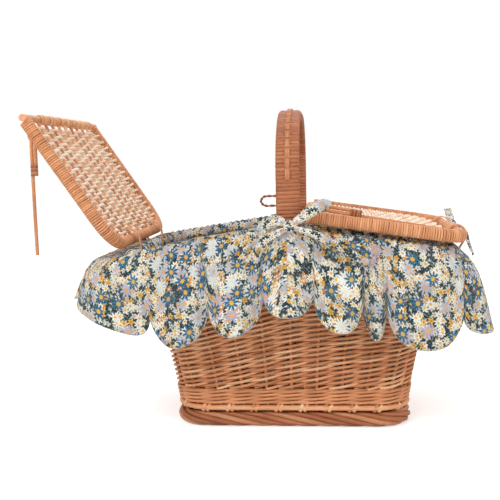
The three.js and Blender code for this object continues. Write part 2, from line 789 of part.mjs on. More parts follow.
// Pegs: the right one lies on its lid, the left one hangs from the open lid's corner
const PEG_DIP = 2.2 * RAD;
const pegPin = lidPoint(LID_LENGTH - PEG.along, PEG.y, PEG.height);
function lyingPeg(u, v) {
  const turn = -LID_SLOPE - PEG_DIP;
  const x = pegPin[0] + u * Math.cos(turn) - v * Math.sin(turn);
  const z = pegPin[2] + u * Math.sin(turn) + v * Math.cos(turn);
  return [x, PEG.y, z];
}

const lean = LID_SLOPE + LID_OPEN;
const alongPin = LID_LENGTH - PEG.along;
const hangX = -HINGE_X + alongPin * Math.cos(lean) - PEG.height * Math.sin(lean);
const hangZ = HINGE_Z + alongPin * Math.sin(lean) + PEG.height * Math.cos(lean);
function hangingPeg(u, v) {
  return [hangX - v, PEG.y, hangZ - u];
}

addPart("right_peg", pegRod(lyingPeg), willow);
addPart("right_peg_binding", pegBinding(lyingPeg), willowDark);
addPart("left_peg", pegRod(hangingPeg), willow);
addPart("left_peg_binding", pegBinding(hangingPeg), willowDark);

export default basket;
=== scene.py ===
# A willow sewing basket with a hoop handle, two lids and a frilled cotton liner, in metres:
# +X along the basket towards the right lid's hinge, +Y to the back, +Z up. The left lid stands open.
import math
import random

import bmesh
import bpy
from mathutils import Matrix, Vector, noise


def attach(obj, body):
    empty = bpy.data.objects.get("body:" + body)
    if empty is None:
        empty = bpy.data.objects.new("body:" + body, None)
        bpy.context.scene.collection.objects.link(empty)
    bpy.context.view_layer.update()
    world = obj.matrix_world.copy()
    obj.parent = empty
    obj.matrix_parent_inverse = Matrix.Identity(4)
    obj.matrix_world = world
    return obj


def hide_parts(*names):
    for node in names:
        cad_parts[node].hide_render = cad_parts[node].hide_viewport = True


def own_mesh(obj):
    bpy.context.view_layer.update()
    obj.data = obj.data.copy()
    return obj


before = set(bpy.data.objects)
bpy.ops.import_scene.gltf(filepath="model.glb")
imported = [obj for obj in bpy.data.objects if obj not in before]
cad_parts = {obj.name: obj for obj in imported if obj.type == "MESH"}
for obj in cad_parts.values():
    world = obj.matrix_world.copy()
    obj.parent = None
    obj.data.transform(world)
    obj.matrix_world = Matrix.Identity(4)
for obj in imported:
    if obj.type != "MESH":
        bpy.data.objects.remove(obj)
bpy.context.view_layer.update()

TURN = 2 * math.pi

# The basket's driving sizes
FOOT_HALF = (0.155, 0.097)
FOOT_CORNER = 0.044
WALL_LOW, WALL_HIGH = 0.025, 0.236
WALL_LOW_HALF = (0.152, 0.094)
WALL_GROWTH = (0.053, 0.048)
WALL_BEND = 0.46
WALL_CORNER = 0.042
WALE_TOP = 0.050
RIM_HALF = (0.203, 0.142)
RIM_CORNER = 0.042
RIM_RADIUS = 0.007
RIM_HEIGHT = 0.2255
SIDING_TOP = 0.21815
GABLE_SLOPE = 0.1504
GABLE_ROUND = 0.020
STAKES = 28
STAKE_INSET = 0.0052
HINGE_X, HINGE_Z = 0.210, 0.2463
LID_LENGTH = 0.189
LID_HALF_WIDTH = 0.147
LID_SLOPE = math.radians(8.55)
LID_OPEN = math.radians(124.25)
LID_CORNER = 0.038
PANEL_HALF_WIDTH = 0.1396
BAR_HALF = 0.158
LEG_X = 0.002
LEG_WIDE, LEG_THICK = 0.029, 0.0104
ARCH_HALF, ARCH_SHOULDER, ARCH_TOP = 0.1548, 0.330, 0.4038
ARCH_FOOT, ARCH_FOOT_HALF, ARCH_BEND = 0.172, 0.129, 0.245
BAR_Z = 0.2555


# Camera
CAMERA_PLACE = (0.0496, -1.1548, 0.3465)
CAMERA_TURNS = (-5.37, 6.14, -1.25)
CAMERA_LENS = 60.64


def aim_camera():
    """Yaw, pitch and roll, in degrees, turn the camera from looking along +Y."""
    place = Vector(CAMERA_PLACE)
    yaw, pitch, roll = (math.radians(a) for a in CAMERA_TURNS)
    ahead = Vector((math.sin(yaw) * math.cos(pitch), math.cos(yaw) * math.cos(pitch), -math.sin(pitch)))
    right = Vector((math.cos(yaw), -math.sin(yaw), 0))
    up = right.cross(ahead)
    side = math.cos(roll) * right + math.sin(roll) * up
    top = math.cos(roll) * up - math.sin(roll) * right
    lens = bpy.data.cameras.new("camera")
    lens.lens = CAMERA_LENS
    lens.sensor_width = 36
    camera = bpy.data.objects.new("camera", lens)
    turned = Matrix((side, top, -ahead)).transposed().to_4x4()
    camera.matrix_world = Matrix.Translation(place) @ turned
    bpy.context.scene.collection.objects.link(camera)
    bpy.context.scene.camera = camera


aim_camera()


# Node trees
class Board:
    """Lays nodes on a tree, so that a finish or a winding reads as a formula."""

    def __init__(self, tree):
        self.tree = tree

    def feed(self, socket, value):
        if isinstance(value, bpy.types.NodeSocket):
            self.tree.links.new(value, socket)
        else:
            socket.default_value = value

    def node(self, kind, settings=None, **values):
        made = self.tree.nodes.new(kind)
        for key, value in (settings or {}).items():
            setattr(made, key, value)
        for key, value in values.items():
            self.feed(made.inputs[key.replace("_", " ")], value)
        return made

    def math(self, operation, *values):
        made = self.node("ShaderNodeMath", {"operation": operation})
        for socket, value in zip(made.inputs, values):
            self.feed(socket, value)
        return made.outputs[0]

    def vector(self, operation, *values, out=0):
        made = self.node("ShaderNodeVectorMath", {"operation": operation})
        for socket, value in zip(made.inputs, values):
            self.feed(socket, value)
        return made.outputs[out]

    def combine(self, x, y, z):
        return self.node("ShaderNodeCombineXYZ", X=x, Y=y, Z=z).outputs[0]

    def mix(self, share, a, b):
        made = self.node("ShaderNodeMix", {"data_type": "RGBA"})
        for socket, value in zip((made.inputs[0], made.inputs[6], made.inputs[7]), (share, a, b)):
            self.feed(socket, value)
        return made.outputs[2]

    def between(self, value, low, high, to_low=0.0, to_high=1.0):
        made = self.node("ShaderNodeMapRange")
        for socket, number in zip(made.inputs, (value, low, high, to_low, to_high)):
            self.feed(socket, number)
        return made.outputs[0]

    def noise(self, place, scale, detail=2.0, roughness=0.5):
        made = self.node("ShaderNodeTexNoise", Vector=place, Scale=scale, Detail=detail, Roughness=roughness)
        return made.outputs[0]

    def attribute(self, name):
        return self.node("ShaderNodeAttribute", {"attribute_name": name}).outputs["Fac"]

    def stored(self, geometry, name, value, domain="POINT"):
        settings = {"data_type": "FLOAT", "domain": domain}
        return self.node("GeometryNodeStoreNamedAttribute", settings, Geometry=geometry, Name=name,
                         Value=value).outputs[0]


def shade(red, green, blue):
    """A colour from its 0-255 screen values."""
    def linear(part):
        part /= 255
        return part / 12.92 if part <= 0.04045 else ((part + 0.055) / 1.055) ** 2.4
    return (linear(red), linear(green), linear(blue), 1.0)


# Finishes
def new_finish(name):
    finish = bpy.data.materials.new(name)
    finish.use_nodes = True
    return finish, Board(finish.node_tree), finish.node_tree.nodes["Principled BSDF"]


def willow_finish(name, dark, middle, pale):
    """Peeled willow or cane: each rod has its own tone, with fine streaks that run along it."""
    finish, board, shader = new_finish(name)
    tone = board.attribute("tone")
    turn = board.math("MULTIPLY", board.attribute("around"), TURN)
    along = board.math("MULTIPLY_ADD", tone, 9.0, board.math("MULTIPLY", board.attribute("along"), 22.0))
    grain = board.combine(along, board.math("COSINE", turn), board.math("SINE", turn))
    streaks = board.noise(grain, 2.6, 4.0, 0.62)
    blotches = board.noise(board.node("ShaderNodeTexCoord").outputs["Object"], 38.0, 2.0)
    value = board.math("MULTIPLY_ADD", streaks, 0.85, board.math("MULTIPLY", tone, 0.55))
    value = board.math("MULTIPLY_ADD", blotches, 0.45, value)
    low = board.mix(board.between(value, 0.45, 0.92), dark, middle)
    colour = board.mix(board.between(value, 0.90, 1.32), low, pale)
    fine = board.noise(grain, 11.0, 3.0)
    bump = board.node("ShaderNodeBump", Strength=0.35, Distance=0.0004, Height=fine)
    board.feed(shader.inputs["Base Color"], colour)
    board.feed(shader.inputs["Normal"], bump.outputs[0])
    board.feed(shader.inputs["Roughness"], board.between(fine, 0.3, 0.7, 0.42, 0.6))
    shader.inputs["Specular IOR Level"].default_value = 0.4
    return finish


def flowers(board, place, below, spacing, size, lobes, petal, tint, heart, share, shift):
    """Scatters one kind of flower over the colour below, in a share of a jittered grid's cells."""
    moved = board.vector("ADD", place, (shift, 1.7 * shift, 0))
    cell = board.node("ShaderNodeTexVoronoi", {"voronoi_dimensions": "2D"}, Vector=moved,
                      Scale=1 / spacing, Randomness=0.85)
    chance = board.node("ShaderNodeSeparateColor", Color=cell.outputs["Color"]).outputs
    offset = board.vector("SUBTRACT", moved, cell.outputs["Position"])
    parts = board.node("ShaderNodeSeparateXYZ", Vector=offset).outputs
    reach = board.vector("LENGTH", offset, out=1)
    angle = board.math("ARCTAN2", parts[1], parts[0])
    spin = board.math("MULTIPLY", chance[1], TURN)
    wave = board.math("COSINE", board.math("MULTIPLY_ADD", angle, lobes, spin))
    edge = board.math("MULTIPLY_ADD", wave, 0.12 * size, 0.37 * size)
    there = board.math("LESS_THAN", chance[0], share)
    notch = board.between(wave, -1.0, -0.55, 0.55, 0.0)
    leaf = board.mix(board.math("MULTIPLY", chance[2], 0.8), petal, tint)
    leaf = board.mix(notch, leaf, below)
    on_petal = board.math("MULTIPLY", board.math("LESS_THAN", reach, edge), there)
    on_heart = board.math("MULTIPLY", board.math("LESS_THAN", reach, 0.14 * size), there)
    return board.mix(on_heart, board.mix(on_petal, below, leaf), heart)


def cotton_finish(name, shadow):
    """Plain-weave cotton printed all over with small mixed meadow flowers, with blotches of painted shade
    mixed in.
    """
    finish, board, shader = new_finish(name)
    place = board.node("ShaderNodeUVMap", {"uv_map": "cloth"}).outputs[0]
    uneven = board.vector("ADD", place, board.vector("MULTIPLY", board.node(
        "ShaderNodeTexNoise", Vector=place, Scale=60.0).outputs["Color"], (0.0014, 0.0014, 0)))
    white, cream, yellow = shade(248, 246, 238), shade(234, 228, 204), shade(232, 178, 60)
    blue, deep, lilac = shade(36, 112, 146), shade(26, 84, 118), shade(180, 166, 190)
    pale, sage, ground = shade(206, 218, 226), shade(126, 140, 122), shade(24, 40, 52)
    orange, peach = shade(206, 120, 58), shade(226, 176, 120)
    colour = board.mix(board.between(board.noise(place, 380.0, 1.0), 0.56, 0.60), ground, sage)
    kinds = [
        (0.0060, 0.0052, 3, sage, pale, cream, 0.48, 0.11),
        (0.0090, 0.0078, 5, pale, cream, orange, 0.50, 0.23),
        (0.0100, 0.0112, 7, cream, white, yellow, 0.44, 0.79),
        (0.0112, 0.0086, 5, yellow, yellow, orange, 0.42, 0.37),
        (0.0150, 0.0092, 5, orange, yellow, cream, 0.34, 1.13),
        (0.0108, 0.0114, 8, white, cream, yellow, 0.40, 0.53),
        (0.0260, 0.0210, 11, white, pale, cream, 0.30, 0.97),
        (0.0240, 0.0200, 9, lilac, pale, peach, 0.46, 0.41),
        (0.0230, 0.0190, 9, blue, deep, yellow, 0.52, 0.67),
    ]
    for kind in kinds:
        colour = flowers(board, uneven, colour, *kind)
    edge = board.between(board.attribute("hem"), 0.0006, 0.0012, 0.55, 0.0)
    colour = board.mix(edge, colour, shade(240, 236, 222))
    # Painted shade: noise blotches mix the shadow colour over the print, up to about a third.
    colour = board.mix(board.between(board.noise(place, 30.0, 2.0), 0.3, 0.7, 0.06, 0.36), colour, shadow)
    weave = board.math("ADD", *(
        board.math("SINE", board.math("MULTIPLY", part, TURN / 0.0007))
        for part in board.node("ShaderNodeSeparateXYZ", Vector=place).outputs[:2]))
    stitch = board.math("COMPARE", board.attribute("hem"), 0.0042, 0.0005)
    crumple = board.noise(place, 160.0, 3.0)
    height = board.math("MULTIPLY_ADD", weave, 0.06, board.math("MULTIPLY_ADD", stitch, -1.2, crumple))
    bump = board.node("ShaderNodeBump", Strength=0.5, Distance=0.0006, Height=height)
    board.feed(shader.inputs["Base Color"], colour)
    board.feed(shader.inputs["Normal"], bump.outputs[0])
    shader.inputs["Roughness"].default_value = 0.86
    shader.inputs["Specular IOR Level"].default_value = 0.25
    shader.inputs["Sheen Weight"].default_value = 0.05
    return finish


willow = willow_finish("willow", shade(174, 106, 66), shade(232, 162, 112), shade(250, 212, 170))
# The dark willow is the same willow's ramp moved darker: partly the darker cane of the wrappings, partly
# painted shade, as on the handle's front and the foot.
willow_dark = willow_finish("willow_dark", shade(122, 66, 38), shade(174, 104, 66), shade(208, 148, 106))
# The pale willow is the same willow's ramp moved paler, nearly to white: painted highlight for the strong
# light on the lids' weave.
willow_pale = willow_finish("willow_pale", shade(200, 136, 94), shade(240, 202, 166), shade(255, 244, 228))
cotton = cotton_finish("cotton", shade(96, 100, 98))
FINISHES = {"willow": willow, "willow_dark": willow_dark, "willow_pale": willow_pale, "cotton": cotton}


# Winding trees
def new_winding(name, sizes):
    """A tree with a geometry input, named sizes and a finish."""
    tree = bpy.data.node_groups.new(name, "GeometryNodeTree")
    tree.interface.new_socket("Geometry", in_out="INPUT", socket_type="NodeSocketGeometry")
    for label, value in sizes.items():
        kind = {int: "Int", float: "Float", tuple: "Vector"}[type(value)]
        socket = tree.interface.new_socket(label, in_out="INPUT", socket_type="NodeSocket" + kind)
        socket.default_value = value
    tree.interface.new_socket("Finish", in_out="INPUT", socket_type="NodeSocketMaterial")
    tree.interface.new_socket("Geometry", in_out="OUTPUT", socket_type="NodeSocketGeometry")
    board = Board(tree)
    return tree, board, board.node("NodeGroupInput").outputs


def finish_winding(board, geometry, material):
    smooth = board.node("GeometryNodeSetShadeSmooth", Geometry=geometry).outputs[0]
    real = board.node("GeometryNodeRealizeInstances", Geometry=smooth).outputs[0]
    painted = board.node("GeometryNodeSetMaterial", Geometry=real, Material=material).outputs[0]
    board.node("NodeGroupOutput", Geometry=painted)


def oval(board, sides, half_x, half_y):
    """A rod's section, with its way round kept for the grain."""
    circle = board.node("GeometryNodeCurvePrimitiveCircle", Resolution=sides, Radius=1.0).outputs[0]
    size = board.combine(half_x, half_y, 1.0)
    shaped = board.node("GeometryNodeTransform", Geometry=circle, Scale=size).outputs[0]
    return board.stored(shaped, "around", board.node("GeometryNodeSplineParameter").outputs["Factor"])


def rod_winding():
    """Rods of an oval section along every path, each of its own tone."""
    sizes = {"Half width": 0.002, "Half height": 0.002, "Sides": 8,
             "Tone low": 0.0, "Tone high": 1.0, "Seed": 1}
    tree, board, given = new_winding("willow rods", sizes)
    paths = board.node("GeometryNodeMeshToCurve", Mesh=given["Geometry"]).outputs[0]
    tone = board.node("FunctionNodeRandomValue", {"data_type": "FLOAT"})
    for socket, value in ((2, "Tone low"), (3, "Tone high"), (8, "Seed")):
        board.feed(tone.inputs[socket], given[value])
    toned = board.stored(paths, "tone", tone.outputs[1], "CURVE")
    measured = board.stored(toned, "along", board.node("GeometryNodeSplineParameter").outputs["Length"])
    section = oval(board, given["Sides"], given["Half width"], given["Half height"])
    swept = board.node("GeometryNodeCurveToMesh", Curve=measured, Profile_Curve=section, Fill_Caps=True)
    finish_winding(board, swept.outputs[0], given["Finish"])
    return tree


def binding_winding():
    """Turns of cane round a rounded section, one every pitch along each path."""
    sizes = {"Pitch": 0.003, "Section width": 0.01, "Section height": 0.01, "Corner": 0.004, "Strip": 0.0028,
             "Thickness": 0.0012, "Slant": 0.0, "Jitter": 0.03, "Bulge": 0.0, "Up": (0.0, 0.0, 1.0),
             "Tone low": 0.0, "Tone high": 1.0, "Seed": 1}
    tree, board, given = new_winding("cane bindings", sizes)
    paths = board.node("GeometryNodeMeshToCurve", Mesh=given["Geometry"]).outputs[0]
    marked = board.stored(paths, "share", board.node("GeometryNodeSplineParameter").outputs["Factor"])
    spots = board.node("GeometryNodeCurveToPoints", {"mode": "LENGTH"}, Curve=marked, Length=given["Pitch"])
    tone = board.node("FunctionNodeRandomValue", {"data_type": "FLOAT"})
    for socket, value in ((2, "Tone low"), (3, "Tone high"), (8, "Seed")):
        board.feed(tone.inputs[socket], given[value])
    toned = board.stored(spots.outputs[0], "tone", tone.outputs[1])
    facing = board.node("FunctionNodeAlignRotationToVector", {"axis": "Z"}, Vector=spots.outputs["Tangent"])
    upright = board.node("FunctionNodeAlignRotationToVector", {"axis": "Y", "pivot_axis": "Z"},
                         Rotation=facing.outputs[0], Vector=given["Up"])
    wobble = board.node("FunctionNodeRandomValue", {"data_type": "FLOAT"})
    board.feed(wobble.inputs[2], board.math("MULTIPLY", given["Jitter"], -1.0))
    board.feed(wobble.inputs[3], given["Jitter"])
    board.feed(wobble.inputs[8], board.math("ADD", given["Seed"], 7))
    lean = board.combine(board.math("ADD", given["Slant"], wobble.outputs[1]), wobble.outputs[1], 0.0)
    leaning = board.node("FunctionNodeEulerToRotation", Euler=lean)
    turned = board.node("FunctionNodeRotateRotation", {"rotation_space": "LOCAL"},
                        Rotation=upright.outputs[0], Rotate_By=leaning.outputs[0])
    share = board.node("GeometryNodeInputNamedAttribute", {"data_type": "FLOAT"}, Name="share").outputs[0]
    swell = board.math("SINE", board.math("MULTIPLY", share, math.pi))
    grown = board.math("ADD", board.math("MULTIPLY_ADD", swell, given["Bulge"], 1.0),
                       board.math("MULTIPLY", wobble.outputs[1], 0.4))
    block = board.node("GeometryNodeCurvePrimitiveQuadrilateral", Width=given["Section width"],
                       Height=given["Section height"]).outputs[0]
    fillet = board.node("GeometryNodeFilletCurve", {"mode": "POLY"}, Curve=block, Count=3,
                        Radius=given["Corner"])
    length = board.node("GeometryNodeSplineParameter").outputs["Length"]
    outline = board.stored(fillet.outputs[0], "along", length)
    section = oval(board, 6, board.math("MULTIPLY", given["Thickness"], 0.5),
                   board.math("MULTIPLY", given["Strip"], 0.5))
    turn = board.node("GeometryNodeCurveToMesh", Curve=outline, Profile_Curve=section).outputs[0]
    wound = board.node("GeometryNodeInstanceOnPoints", Points=toned, Instance=turn,
                       Rotation=turned.outputs[0], Scale=board.combine(grown, grown, 1.0)).outputs[0]
    finish_winding(board, wound, given["Finish"])
    return tree


RODS = rod_winding()
BINDINGS = binding_winding()


def path_mesh(name, paths, closed):
    points = []
    edges = []
    for path in paths:
        first = len(points)
        points.extend(path)
        edges.extend((k, k + 1) for k in range(first, len(points) - 1))
        if closed:
            edges.append((len(points) - 1, first))
    mesh = bpy.data.meshes.new(name)
    mesh.from_pydata([tuple(p) for p in points], edges, [])
    return mesh


def wind(tree, name, paths, finish, closed=False, **sizes):
    """Runs a winding tree along the paths and keeps the result as a plain mesh."""
    holder = bpy.data.objects.new(name + "_paths", path_mesh(name + "_paths", paths, closed))
    bpy.context.scene.collection.objects.link(holder)
    modifier = holder.modifiers.new("winding", "NODES")
    modifier.node_group = tree
    for socket in tree.interface.items_tree:
        key = socket.name.lower().replace(" ", "_")
        if socket.in_out == "INPUT" and key in sizes:
            modifier[socket.identifier] = sizes[key]
        elif socket.name == "Finish":
            modifier[socket.identifier] = FINISHES[finish]
    settled = holder.evaluated_get(bpy.context.evaluated_depsgraph_get())
    mesh = bpy.data.meshes.new_from_object(settled)
    mesh.name = name
    holder.modifiers.clear()
    bpy.data.objects.remove(holder)
    return mesh


def round_rods(name, paths, finish, radius, closed=False, **sizes):
    return wind(RODS, name, paths, finish, closed, half_width=radius, half_height=radius, **sizes)


def place_piece(name, meshes, body, slot, *nodes):
    """One piece from one or more meshes, riding on its body and standing for its CAD nodes."""
    piece = bpy.data.objects.new(name, meshes[0])
    bpy.context.scene.collection.objects.link(piece)
    if len(meshes) > 1:
        others = [bpy.data.objects.new(name + "_more", mesh) for mesh in meshes[1:]]
        for other in others:
            bpy.context.scene.collection.objects.link(other)
        with bpy.context.temp_override(active_object=piece, selected_editable_objects=[piece, *others]):
            bpy.ops.object.join()
    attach(piece, body)
    if nodes:
        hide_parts(*nodes)
    return piece


# Outlines
def around(half, corner, share):
    """A rounded rectangle's point and outward direction, a share of the way round from +X."""
    flat_y, flat_x, arc = half[1] - corner, half[0] - corner, corner * math.pi / 2
    quarter = flat_x + flat_y + arc
    way = (share % 1.0) * 4 * quarter
    side, left = int(way // quarter), way % quarter
    mirrored = side % 2 == 1
    left = quarter - left if mirrored else left
    if left <= flat_y:
        x, y, out_x, out_y = half[0], left, 1.0, 0.0
    elif left <= flat_y + arc:
        angle = (left - flat_y) / corner
        out_x, out_y = math.cos(angle), math.sin(angle)
        x, y = flat_x + corner * out_x, flat_y + corner * out_y
    else:
        x, y, out_x, out_y = flat_x - (left - flat_y - arc), half[1], 0.0, 1.0
    sign_x = -1 if side in (1, 2) else 1
    sign_y = -1 if side in (2, 3) else 1
    return Vector((sign_x * x, sign_y * y, 0)), Vector((sign_x * out_x, sign_y * out_y, 0))


def outline_length(half, corner):
    return 4 * (half[0] + half[1] - 2 * corner) + TURN * corner


def gable(x):
    return GABLE_SLOPE * (HINGE_X - math.hypot(x, GABLE_ROUND))


def wall_half(z):
    t = max(0.0, (z - WALL_LOW) / (WALL_HIGH - WALL_LOW))
    share = (1 - WALL_BEND) * t + WALL_BEND * t * t
    return [half + growth * share for half, growth in zip(WALL_LOW_HALF, WALL_GROWTH)]


def wall_point(share, level, out):
    """A point of the leaning wall: out is measured from the line of the stakes."""
    half = [h - STAKE_INSET for h in wall_half(level)]
    point, away = around(half, WALL_CORNER, share)
    lift = max(0.0, (level - WALE_TOP) / (SIDING_TOP - WALE_TOP)) * gable(point.x)
    return point + away * out + Vector((0, 0, level + lift))


def rope(centre, away, strands, offset, turns, steps):
    """Strands laid round a closed centre line. centre and away take a share of the way round."""
    paths = []
    for strand in range(strands):
        path = []
        for k in range(steps):
            share = k / steps
            turn = TURN * (strand / strands - turns * share)
            swing = math.cos(turn) * away(share) + Vector((0, 0, math.sin(turn)))
            path.append(centre(share) + offset * swing)
        paths.append(path)
    return paths


# Woven body
CLIMB = 0.0059
STEP = 6


def siding_paths():
    """French randing: two weavers start in each space and climb, in front of every other stake."""
    strokes = (SIDING_TOP - WALE_TOP) / CLIMB
    shake = random.Random(4)
    paths = []
    for weaver in range(2 * STAKES):
        loose = shake.uniform(-0.0005, 0.0005)
        path = []
        for k in range(int(strokes * STEP) + 1):
            stroke = k / STEP
            level = min(WALE_TOP + 0.0012 + stroke * CLIMB + loose, SIDING_TOP - 0.0022)
            out = 0.0038 * math.cos(math.pi * (1.5 * weaver + stroke))
            path.append(wall_point((weaver / 2 + stroke) / STAKES, level, out))
        paths.append(path)
    return paths


def waling_paths():
    """Four rows of three-rod wale: each strand passes in front of two stakes and behind one."""
    paths = []
    for row in range(4):
        for strand in range(3):
            path = []
            for k in range(STAKES * STEP):
                stroke = k / STEP
                turn = TURN * (stroke + strand + row) / 3
                level = 0.0334 + 0.0049 * row + 0.0014 * math.sin(turn)
                path.append(wall_point(stroke / STAKES, level, 0.0014 + 0.0034 * math.cos(turn)))
            paths.append(path)
    return paths


def stake_paths():
    paths = []
    levels = [0.024, 0.031, 0.05, 0.09, 0.134, 0.176, 0.217]
    for stake in range(STAKES):
        paths.append([wall_point(stake / STAKES, level, -0.0004) for level in levels])
    return paths


def hoop_path():
    return [wall_point(k / 96, 0.0275, -0.0062) for k in range(96)]


def make_body():
    siding = round_rods("woven_siding", siding_paths(), "willow", 0.0018, sides=7)
    place_piece("woven_siding", [siding], "basket", "willow", "siding")
    waling = round_rods("waling_rows", waling_paths(), "willow", 0.0018, closed=True, tone_high=0.35, seed=3)
    place_piece("waling_rows", [waling], "basket", "willow", "waling_band")
    stakes = round_rods("body_stakes", stake_paths(), "willow", 0.0021, seed=5)
    hoop = round_rods("stake_hoop", [hoop_path()], "willow", 0.0024, closed=True, seed=6)
    place_piece("body_stakes", [stakes, hoop], "basket", "willow", "stake_cage")


def make_foot():
    half = [h - 0.0098 for h in FOOT_HALF]
    corner = FOOT_CORNER - 0.0098
    turns = round(outline_length(half, corner) / 0.170)
    strands = rope(
        lambda s: around(half, corner, s)[0] + Vector((0, 0, 0.00975)),
        lambda s: around(half, corner, s)[1], 6, 0.0064, turns, 400)
    # Painted shade: the foot's rope takes the dark copy of the willow.
    border = round_rods("foot_rope", strands, "willow_dark", 0.0033, closed=True, seed=8)
    place_piece("foot_rope", [border], "basket", "willow_dark", "foot_border")
    band_half = [h - 0.0058 for h in FOOT_HALF]
    band_path = [around(band_half, FOOT_CORNER, k / 160)[0] + Vector((0, 0, 0.0255)) for k in range(160)]
    band = wind(RODS, "band_rod", [band_path], "willow", True, half_width=0.0050, half_height=0.0036,
                sides=12, seed=9)
    straps = []
    for k in range(STAKES):
        for aside in (-0.0032, 0.0032):
            share = (k + 0.5) / STAKES + aside
            straps.append([around(band_half, FOOT_CORNER, share + d)[0] + Vector((0, 0, 0.0255))
                           for d in (-0.001, 0.001)])
    strap = wind(BINDINGS, "band_straps", straps, "willow", pitch=0.004, section_width=0.0080,
                 section_height=0.0108, corner=0.0038, strip=0.0046, thickness=0.0012,
                 slant=0.42, jitter=0.12, seed=10)
    place_piece("foot_band_rod", [band, strap], "basket", "willow", "foot_band")


def make_base():
    """The base is woven flat: pairs of sticks across it and weavers along it."""
    half_x, half_y, corner = 0.1372, 0.0790, 0.026
    def reach(other, half, other_half):
        over = max(0.0, other - (other_half - corner))
        return half - corner + math.sqrt(max(corner * corner - over * over, 0.0))
    sticks = []
    for k in range(11):
        x = (k - 5) * 0.0255
        end = reach(abs(x), half_y, half_x) - 0.002
        sticks.extend([Vector((x + s, -end, 0.006)), Vector((x + s, end, 0.006))] for s in (-0.0021, 0.0021))
    weavers = []
    rows = 34
    for k in range(rows):
        y = (k - (rows - 1) / 2) * 0.0046
        end = reach(abs(y), half_x, half_y) - 0.002
        steps = 96
        weavers.append([
            Vector((x, y, 0.006 + 0.0036 * math.cos(math.pi * (x / 0.0255 + k))))
            for x in (end * (2 * i / steps - 1) for i in range(steps + 1))])
    under = round_rods("base_sticks", sticks, "willow", 0.0020, seed=12)
    over = round_rods("base_weavers", weavers, "willow", 0.0022, sides=6, seed=13)
    place_piece("woven_base", [under, over], "basket", "willow", "base_panel")


def make_rim():
    def centre(share):
        point, _ = around(RIM_HALF, RIM_CORNER, share)
        return point + Vector((0, 0, RIM_HEIGHT + gable(point.x)))
    strands = rope(centre, lambda s: around(RIM_HALF, RIM_CORNER, s)[1], 4, 0.0037, 22, 420)
    border = round_rods("rim_plait", strands, "willow", 0.0032, closed=True, seed=15)
    place_piece("rim_plait", [border], "basket", "willow", "rim_border")
    bar = [Vector((0, y / 100, BAR_Z)) for y in range(-13, 14)]
    core = round_rods("bar_rod", [bar], "willow", 0.0046, sides=16, seed=16)
    ends = [[Vector((0, s * y, BAR_Z)) for y in (0.100, 0.132)] for s in (-1, 1)]
    wraps = wind(BINDINGS, "bar_wraps", ends, "willow", pitch=0.0027, section_width=0.0100,
                 section_height=0.0100, corner=0.0049, strip=0.0026, thickness=0.0010, seed=17)
    place_piece("centre_rod", [core, wraps], "basket", "willow", "centre_bar")


# Handle
def arch_points(steps, shift=0.0):
    """The hoop's middle line in the Y-Z plane, from the front foot over the top to the back foot."""
    half = ARCH_HALF + shift
    corners = [(-(ARCH_FOOT_HALF + shift), ARCH_FOOT), (-half, ARCH_BEND), (-half, ARCH_SHOULDER)]
    points = []
    for (y0, z0), (y1, z1) in zip(corners, corners[1:]):
        parts = max(2, round(steps * (z1 - z0) / 0.25))
        points.extend((y0 + (y1 - y0) * k / parts, z0 + (z1 - z0) * k / parts) for k in range(parts))
    centre = 0.27 * half
    for k in range(steps + 1):
        turn = math.pi / 2 * k / steps
        rise = (ARCH_TOP + shift - ARCH_SHOULDER) * math.sin(turn)
        points.append((-centre - (half - centre) * math.cos(turn), ARCH_SHOULDER + rise))
    level = [(-centre * (1 - k / 4), ARCH_TOP + shift) for k in range(1, 4)]
    left = points + level + [(0.0, ARCH_TOP + shift)]
    return left + [(-y, z) for y, z in reversed(left[:-1])]


def make_handle():
    rods = []
    for n in (-1, 0, 1):
        rods.append([Vector((LEG_X + 0.0086 * n, y, z)) for y, z in arch_points(18)[1:-1]])
    core = round_rods("handle_rods", rods, "willow", 0.0037, sides=10, seed=20)
    place_piece("handle_rods", [core], "basket", "willow", "handle_rod_1", "handle_rod_2", "handle_rod_3")
    path = [Vector((LEG_X, y, z)) for y, z in arch_points(18)]
    # Painted shade, in part: the handle's wrapping takes the dark copy of the willow.
    wraps = wind(BINDINGS, "handle_wraps", [path], "willow_dark", pitch=0.0046,
                 section_width=LEG_THICK - 0.0014, section_height=LEG_WIDE - 0.0014, corner=0.0036,
                 strip=0.0054, thickness=0.0010, slant=0.03, jitter=0.012, tone_low=0.25, tone_high=0.6,
                 up=(1.0, 0.0, 0.0), seed=21)
    place_piece("handle_wraps", [wraps], "basket", "willow_dark", "handle_wrapping")
    leader = []
    line = arch_points(60)
    last = len(line) - 1
    for k, (y, z) in enumerate(line):
        if z > 0.318:
            y0, z0 = line[max(k - 1, 0)]
            y1, z1 = line[min(k + 1, last)]
            length = math.hypot(y1 - y0, z1 - z0)
            lift = LEG_THICK / 2 + 0.0002 + 0.0013 * math.tanh(3 * math.sin(TURN * k / 6))
            leader.append(Vector((LEG_X, y - (z1 - z0) / length * lift, z + (y1 - y0) / length * lift)))
    strip = wind(RODS, "leader_strip", [leader], "willow_dark", half_width=0.0032, half_height=0.0006,
                 sides=8, tone_low=0.6, seed=22)
    place_piece("leader_strip", [strip], "basket", "willow_dark", "handle_leader")


# Lids
def lid_point(side, along, y, up):
    """A point of a lid: along from its hinge, across it, and up from its middle plane at rest."""
    if side > 0:
        slope, hinge = LID_SLOPE, HINGE_X
        x = hinge - along * math.cos(slope) + up * math.sin(slope)
    else:
        slope, hinge = LID_OPEN, -HINGE_X
        x = hinge + along * math.cos(slope) - up * math.sin(slope)
    return Vector((x, y, HINGE_Z + along * math.sin(slope) + up * math.cos(slope)))


def lid_up(side):
    return tuple(lid_point(side, 0, 0, 1) - lid_point(side, 0, 0, 0))


